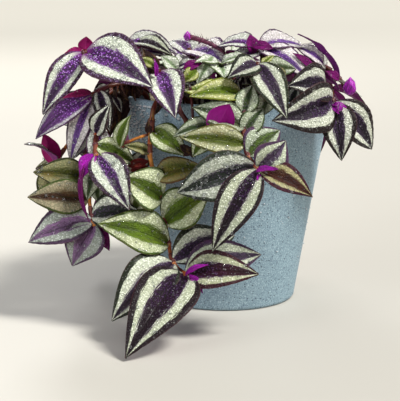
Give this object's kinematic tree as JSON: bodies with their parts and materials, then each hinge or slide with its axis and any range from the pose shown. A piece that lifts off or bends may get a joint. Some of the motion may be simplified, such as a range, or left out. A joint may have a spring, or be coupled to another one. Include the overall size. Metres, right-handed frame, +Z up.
{
  "type": "potted tradescantia",
  "caption": "Trailing striped-leaf house plant in a tapered matte pot with soil, its leafy shoots hanging over the rim; stands on a shelf or table.",
  "frame": {"origin": "middle of the pot's flat underside, on the surface that it stands on", "axes": "+Z up along the pot's axis, -Y towards the front that the picture shows, +X to its right"},
  "size_m": [0.2085, 0.25, 0.1682],
  "materials": {
    "pot": "matte, finely speckled",
    "soil": "crumbly, damp",
    "leaf": "satin, pearly stripes"
  },
  "bodies": {
    "root": {"pot": "pot", "soil": "soil", "front_low_shoot": "leaf", "front_right_shoot": "leaf", "front_inner_shoot": "leaf", "right_shoot": "leaf", "right_upper_shoot": "leaf", "crown_right_shoot": "leaf", "crown_back_right_shoot": "leaf", "left_arching_shoot": "leaf", "crown_middle_shoot": "leaf", "crown_front_shoot": "leaf", "left_crown_shoot": "leaf", "left_inner_shoot": "leaf", "left_rim_shoot": "leaf", "left_front_shoot": "leaf", "left_low_shoot": "leaf", "left_side_shoot": "leaf", "right_side_shoot": "leaf", "right_back_shoot": "leaf", "back_right_shoot": "leaf", "back_shoot": "leaf", "back_left_shoot": "leaf", "left_back_shoot": "leaf", "left_back_side_shoot": "leaf", "crown_back_shoot": "leaf", "crown_back_left_shoot": "leaf", "crown_back_side_shoot": "leaf"}
  },
  "joints": []
}
